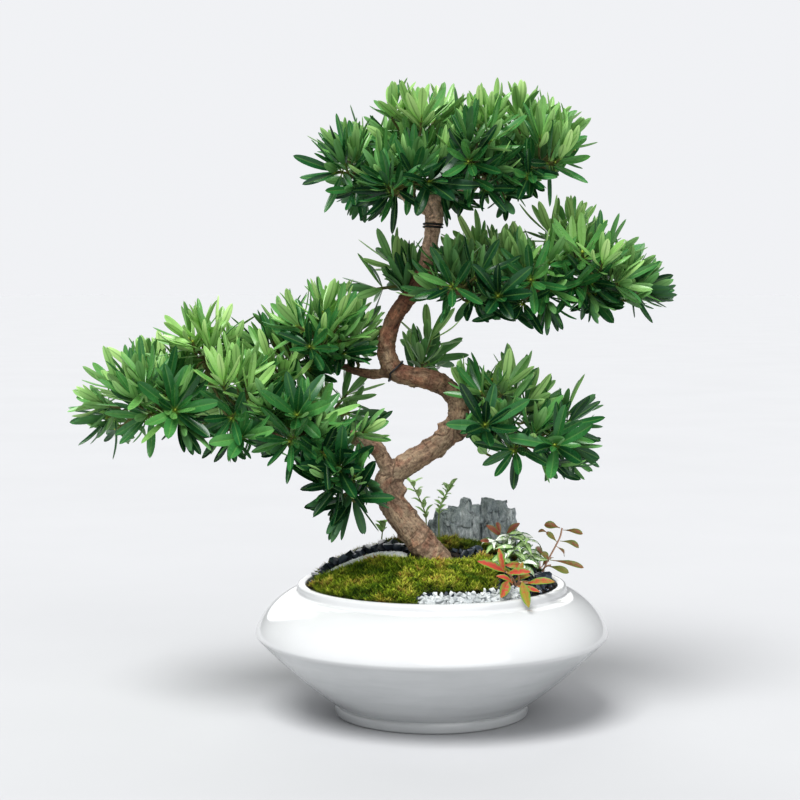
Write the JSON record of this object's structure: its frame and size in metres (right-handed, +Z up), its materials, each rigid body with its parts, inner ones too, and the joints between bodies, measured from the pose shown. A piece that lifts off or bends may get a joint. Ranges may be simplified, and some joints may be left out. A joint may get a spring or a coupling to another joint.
{
  "type": "bonsai tree",
  "caption": "Trained buddhist pine bonsai with a curved trunk and leafy pads, in a round white glazed pot with moss, stones and small companion plants.",
  "frame": {"origin": "centre of the pot's flat underside, on the surface that it stands on", "axes": "+Z up, -Y towards the viewer, with the tree's long left pad towards -X"},
  "size_m": [0.5097, 0.3, 0.5376],
  "materials": {
    "porcelain": "gloss",
    "drain_net": "matte",
    "soil": "matte",
    "moss": "matte",
    "white_stone": "matte",
    "dark_slate": "satin",
    "grey_rock": "matte",
    "bark": "matte",
    "dark_wire": "satin",
    "pine_leaf": "satin",
    "red_leaf": "satin",
    "variegated_leaf": "satin",
    "sprig_leaf": "satin"
  },
  "bodies": {
    "root": {"pot": "porcelain", "drain_mesh_1": "drain_net", "drain_mesh_2": "drain_net", "drain_mesh_3": "drain_net", "soil": "soil", "moss_front": "moss", "moss_back": "moss", "white_sand": "white_stone", "white_gravel": "white_stone", "slate_left": "dark_slate", "slate_trunk": "dark_slate", "slate_rim": "dark_slate", "rock_left": "grey_rock", "rock_right": "grey_rock", "trunk": "bark", "wire_top": "dark_wire", "wire_bend": "dark_wire", "spray_crown_1": "pine_leaf", "spray_crown_2": "pine_leaf", "spray_crown_3": "pine_leaf", "spray_crown_4": "pine_leaf", "spray_crown_5": "pine_leaf", "spray_crown_6": "pine_leaf", "spray_crown_7": "pine_leaf", "spray_crown_8": "pine_leaf", "spray_right_1": "pine_leaf", "spray_right_2": "pine_leaf", "spray_right_3": "pine_leaf", "spray_right_4": "pine_leaf", "spray_right_5": "pine_leaf", "spray_right_6": "pine_leaf", "spray_right_7": "pine_leaf", "spray_upper_left_1": "pine_leaf", "spray_upper_left_2": "pine_leaf", "spray_upper_left_3": "pine_leaf", "spray_left_1": "pine_leaf", "spray_left_2": "pine_leaf", "spray_left_3": "pine_leaf", "spray_left_4": "pine_leaf", "spray_left_5": "pine_leaf", "spray_left_6": "pine_leaf", "spray_left_7": "pine_leaf", "spray_left_8": "pine_leaf", "spray_left_9": "pine_leaf", "spray_left_10": "pine_leaf", "spray_low_right_1": "pine_leaf", "spray_low_right_2": "pine_leaf", "spray_low_right_3": "pine_leaf", "spray_low_right_4": "pine_leaf", "spray_rear_1": "pine_leaf", "red_plant": "red_leaf", "variegated_plant": "variegated_leaf", "tall_plant": "red_leaf", "sprig_tall": "sprig_leaf", "sprig_short": "sprig_leaf", "sprig_left": "sprig_leaf"}
  },
  "joints": []
}
